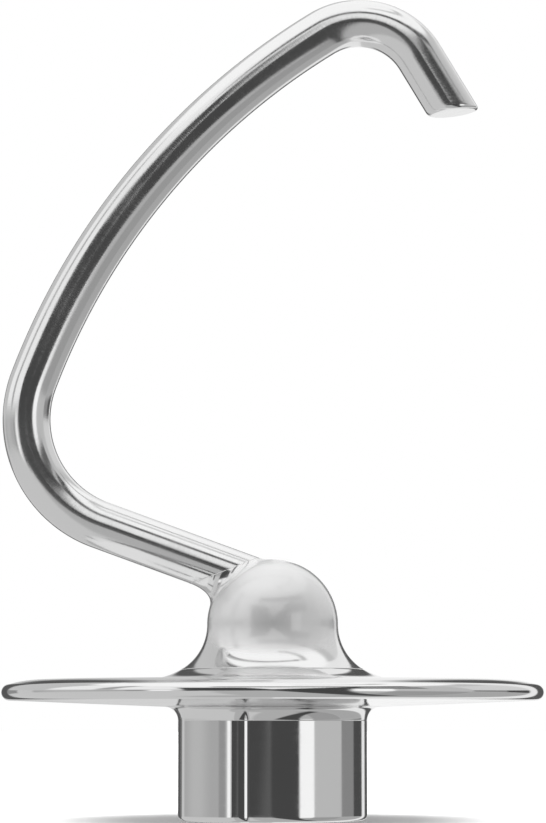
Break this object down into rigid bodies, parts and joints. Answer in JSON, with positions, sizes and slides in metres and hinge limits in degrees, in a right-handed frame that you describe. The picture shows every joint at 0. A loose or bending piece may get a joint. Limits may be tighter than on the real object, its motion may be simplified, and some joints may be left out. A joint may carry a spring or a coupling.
{
  "type": "dough hook",
  "caption": "C-shaped stainless dough hook for a stand mixer: a bent round bar on a domed hub with a guard disc and a bayonet drive collar.",
  "frame": {"origin": "centre of the drive collar's open end, on the axis of the mixer's shaft", "axes": "+Z along the shaft's axis from the collar's open end to the hook, +X from the bar's belly towards its tip, the bar lies in the XZ plane"},
  "size_m": [0.0893, 0.089, 0.137],
  "materials": {
    "polished_steel": "mirror-polished stainless steel",
    "burnished_steel": "polished stainless steel with faint lengthwise buffing marks",
    "machined_steel": "machined stainless steel with fine turning marks"
  },
  "bodies": {
    "root": {"hook_arm": "burnished_steel", "arm_weld": "polished_steel", "neck_dome": "polished_steel", "guard_disc": "polished_steel", "collar_weld": "polished_steel", "drive_collar": "polished_steel", "bayonet_bush": "machined_steel"}
  },
  "joints": []
}
